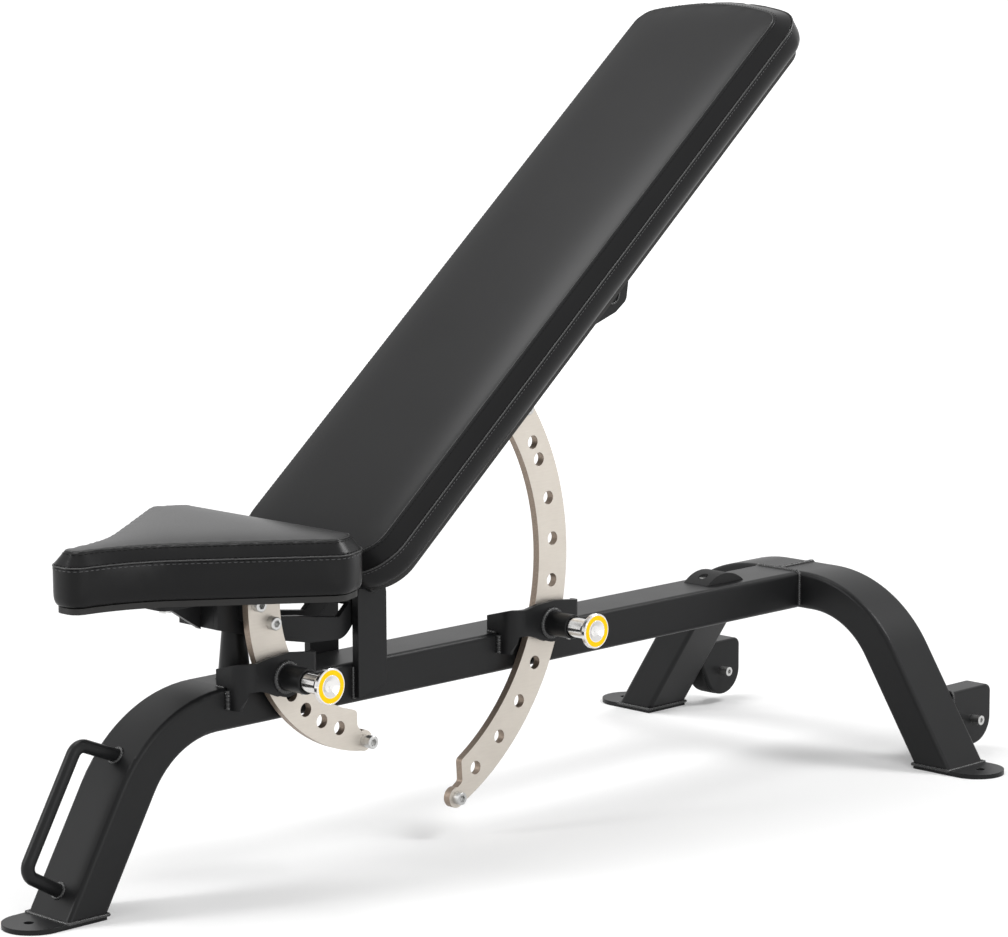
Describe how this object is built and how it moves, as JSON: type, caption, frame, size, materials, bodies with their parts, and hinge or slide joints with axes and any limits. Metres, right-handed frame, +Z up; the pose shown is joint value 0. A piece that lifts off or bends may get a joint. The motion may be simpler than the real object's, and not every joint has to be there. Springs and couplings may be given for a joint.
{
  "type": "adjustable weight bench",
  "caption": "Adjustable weight bench with a tilting padded backrest and seat, pull-pin position sectors, arched rear legs, wheels and a carry handle.",
  "frame": {"origin": "middle of the bench's footprint on the floor, at rest: backrest at 40 degrees, seat level", "axes": "+X along the bench from the seat's nose to the wheels at the head end, -Y towards the side with the pull pins, +Z up"},
  "size_m": [1.4895, 0.708, 1.0154],
  "materials": {
    "frame_paint": "satin black powder coat",
    "zinc_fasteners": "bright zinc plated",
    "yellow_ring": "gloss yellow inlay",
    "knob_chrome": "polished chrome",
    "sector_steel": "satin steel with a warm tint",
    "bright_steel": "turned steel",
    "black_rubber": "matt black rubber",
    "wheel_core": "black nylon",
    "pad_vinyl": "black upholstery vinyl, fine grain",
    "pad_board": "board with black backing cloth"
  },
  "bodies": {
    "frame": {"main_frame_tube": "frame_paint", "rear_leg_near": "frame_paint", "rear_leg_far": "frame_paint", "foot_plate_front": "frame_paint", "foot_plate_near": "frame_paint", "foot_plate_far": "frame_paint", "carry_handle": "frame_paint", "wheel_bracket_near": "frame_paint", "wheel_bracket_far": "frame_paint", "axle_bolts": "zinc_fasteners", "axle_spacers": "zinc_fasteners", "axle_nuts": "zinc_fasteners", "beam_bumper": "black_rubber", "bumper_screws": "zinc_fasteners", "upright_near": "frame_paint", "upright_far": "frame_paint", "pivot_shaft": "bright_steel", "pivot_cap_screws": "zinc_fasteners", "pivot_washers": "bright_steel", "seat_rest_post": "frame_paint", "seat_clamp_strap": "frame_paint", "back_clamp_strap": "frame_paint", "seat_pin_barrel": "frame_paint", "back_pin_barrel": "frame_paint", "pin_set_screws": "zinc_fasteners"},
    "seat": {"seat_cheek_near": "frame_paint", "seat_cheek_far": "frame_paint", "seat_frame_box": "frame_paint", "seat_sector_block": "frame_paint", "seat_gusset": "frame_paint", "seat_mount_plate": "frame_paint", "seat_board": "pad_board", "seat_pad": "pad_vinyl", "seat_pad_screws": "zinc_fasteners", "seat_sector": "sector_steel", "seat_sector_screws": "zinc_fasteners", "seat_stop_screw": "zinc_fasteners"},
    "backrest": {"back_spine": "frame_paint", "back_hub": "frame_paint", "back_spine_cap": "frame_paint", "back_mount_plates": "frame_paint", "back_gusset_near": "frame_paint", "back_gusset_far": "frame_paint", "back_cross_tube": "frame_paint", "back_sector_block": "frame_paint", "back_board": "pad_board", "back_pad": "pad_vinyl", "back_pad_screws": "zinc_fasteners", "back_sector": "sector_steel", "back_sector_screws": "zinc_fasteners", "back_stop_screw": "zinc_fasteners"},
    "seat_pin": {"seat_pull_pin": "knob_chrome", "seat_pin_ring": "yellow_ring"},
    "back_pin": {"back_pull_pin": "knob_chrome", "back_pin_ring": "yellow_ring"},
    "wheel_near": {"wheel_hub_near": "wheel_core", "wheel_tyre_near": "black_rubber"},
    "wheel_far": {"wheel_hub_far": "wheel_core", "wheel_tyre_far": "black_rubber"}
  },
  "joints": [
    {"name": "backrest_tilt", "type": "hinge", "parent": "frame", "child": "backrest", "pos_m": [-0.222, 0, 0.3383], "axis": [0, -1, 0], "range_deg": [-44.7, 40]},
    {"name": "seat_tilt", "type": "hinge", "parent": "frame", "child": "seat", "pos_m": [-0.222, 0, 0.3383], "axis": [0, -1, 0], "range_deg": [-40, 0]},
    {"name": "seat_pin_pull", "type": "slide", "parent": "frame", "child": "seat_pin", "axis": [0, 1, 0], "range_m": [0, 0.014]},
    {"name": "back_pin_pull", "type": "slide", "parent": "frame", "child": "back_pin", "axis": [0, 1, 0], "range_m": [0, 0.014]},
    {"name": "wheel_near_spin", "type": "hinge", "parent": "frame", "child": "wheel_near", "pos_m": [0.7055, -0.228, 0.049], "axis": [0, 1, 0], "continuous": true},
    {"name": "wheel_far_spin", "type": "hinge", "parent": "frame", "child": "wheel_far", "pos_m": [0.7055, 0.228, 0.049], "axis": [0, 1, 0], "continuous": true}
  ]
}
